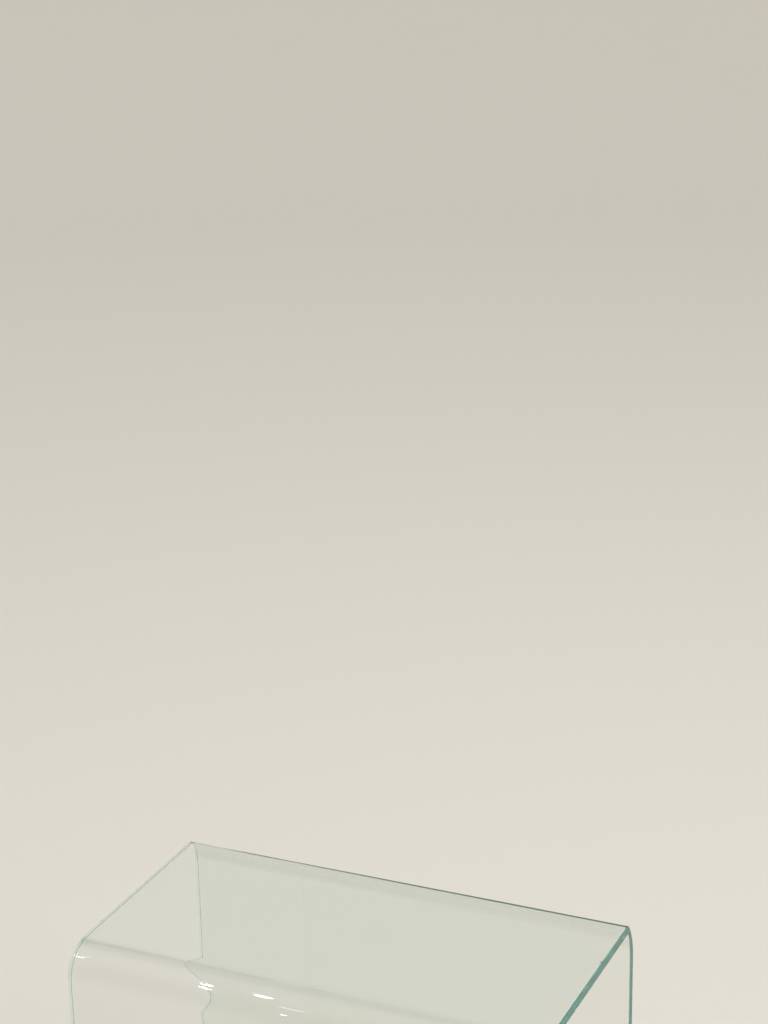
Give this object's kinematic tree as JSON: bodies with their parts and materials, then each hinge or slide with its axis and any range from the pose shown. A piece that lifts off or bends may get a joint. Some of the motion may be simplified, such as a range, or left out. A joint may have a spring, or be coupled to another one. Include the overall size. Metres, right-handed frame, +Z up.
{
  "type": "display plinth",
  "caption": "Floor-standing display plinth: one clear glass sheet bent down at front and back into two legs, open at both ends, on clear edge pads.",
  "frame": {"origin": "centre of the footprint, at floor level, under the pads", "axes": "+X along the bends towards the viewer's right, +Y from the front leg to the back leg, +Z up"},
  "size_m": [0.45, 0.25, 0.6],
  "materials": {
    "glass": "clear float glass, fire-polished faces, teal ground and polished edges",
    "clear_pad": "translucent soft polymer, satin"
  },
  "bodies": {
    "root": {"glass_sheet": "glass", "front_left_pad": "clear_pad", "front_right_pad": "clear_pad", "back_left_pad": "clear_pad", "back_right_pad": "clear_pad"}
  },
  "joints": []
}
